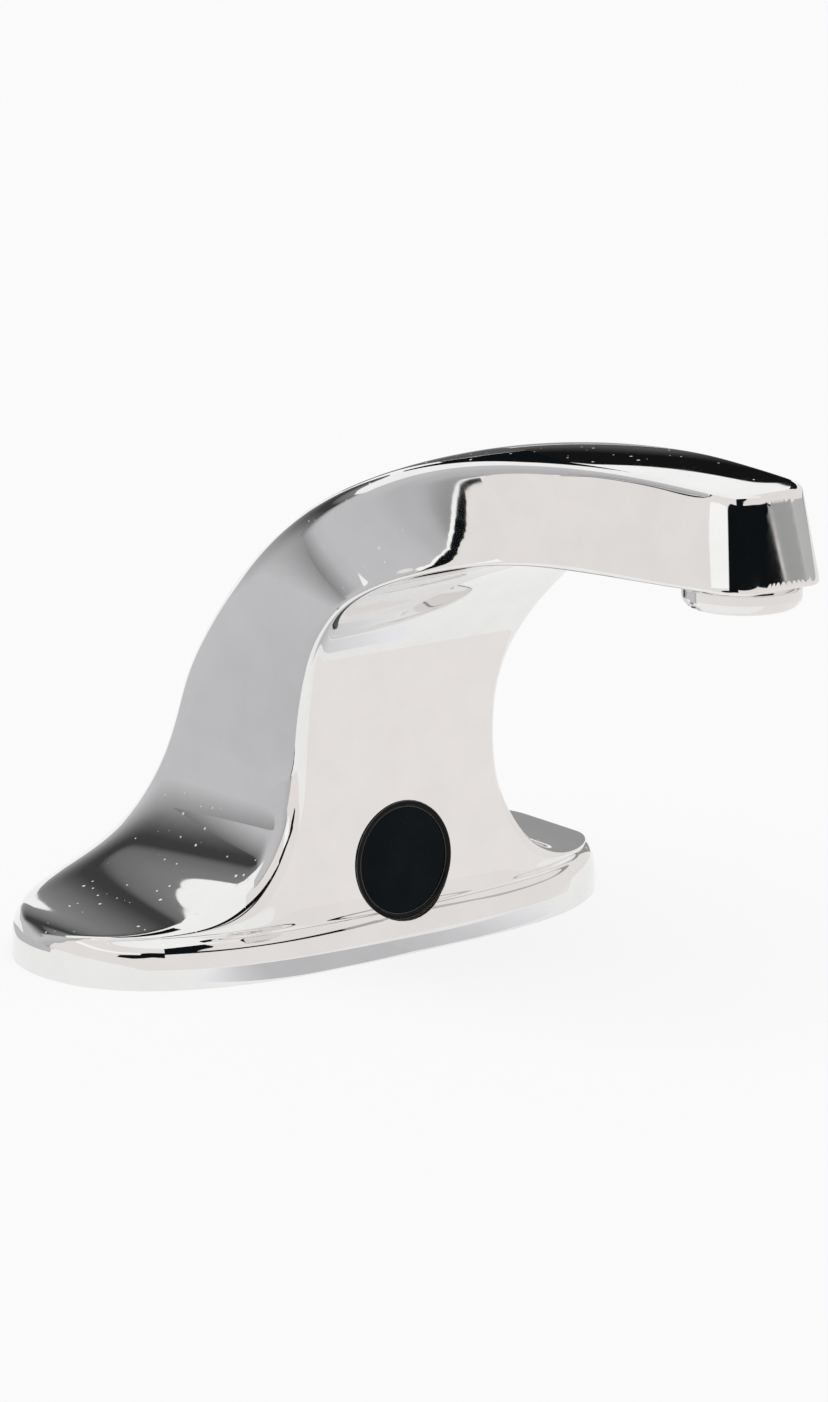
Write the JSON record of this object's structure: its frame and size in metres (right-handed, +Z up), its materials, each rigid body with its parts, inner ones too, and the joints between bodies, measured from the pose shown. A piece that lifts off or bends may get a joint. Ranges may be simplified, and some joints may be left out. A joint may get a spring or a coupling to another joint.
{
  "type": "sensor basin tap",
  "caption": "Hands-free basin tap with an oval foot, a broad column that bends into a tapering spout, a round sensor window in front and an aerator below the spout.",
  "frame": {"origin": "on the deck, midway between the two fixing holes", "axes": "+Z up out of the deck, -Y towards the user and along the spout, +X to the user's right"},
  "size_m": [0.16, 0.2067, 0.1313],
  "materials": {
    "chrome_body": "polished plating on a cast body",
    "chrome_aerator": "polished plating on brass",
    "black_bezel": "gloss black",
    "dark_window": "gloss black, infrared passes",
    "black_plastic": "moulded, matt",
    "black_rubber": "matt",
    "green_board": "coated circuit board",
    "clear_diode": "clear resin",
    "dark_diode": "dark resin",
    "red_lamp": "red resin",
    "bright_steel": "rolled and zinc plated",
    "yellow_brass": "machined",
    "copper_tube": "drawn copper, dull",
    "white_plastic": "moulded",
    "fine_mesh": "woven wire"
  },
  "bodies": {
    "tap": {"tap_body": "chrome_body", "deck_gasket": "black_rubber", "sensor_bezel": "black_bezel", "bezel_seal": "black_rubber", "sensor_window": "dark_window", "sensor_housing": "black_plastic", "cap_seal": "black_rubber", "sensor_board": "green_board", "optic_shield": "black_plastic", "ir_emitter": "clear_diode", "ir_receiver": "dark_diode", "status_lamp": "red_lamp", "sensor_back_cap": "black_plastic", "cable_grommet": "black_rubber", "sensor_bracket": "bright_steel", "bracket_screws": "bright_steel", "inlet_connector": "yellow_brass", "inlet_bridge": "bright_steel", "bridge_screws": "bright_steel", "inlet_locknut": "yellow_brass", "waterway_tube": "copper_tube", "inlet_o_ring": "black_rubber", "outlet_o_ring": "black_rubber"},
    "aerator_insert": {"aerator_core": "white_plastic", "aerator_screen": "fine_mesh", "flow_regulator": "white_plastic", "aerator_washer": "black_rubber"},
    "aerator_ring": {"aerator_housing": "chrome_aerator"}
  },
  "joints": [
    {"name": "aerator_drop", "type": "slide", "parent": "tap", "child": "aerator_insert", "axis": [0, 0, -1], "range_m": [0, 0.008]},
    {"name": "aerator_turn", "type": "hinge", "parent": "aerator_insert", "child": "aerator_ring", "pos_m": [0, -0.153, 0.108], "axis": [0, 0, -1], "range_deg": [0, 2881]}
  ],
  "couplings": [
    {"joint": "aerator_turn", "follows": "aerator_drop", "rad_per_m": 6283.2}
  ]
}
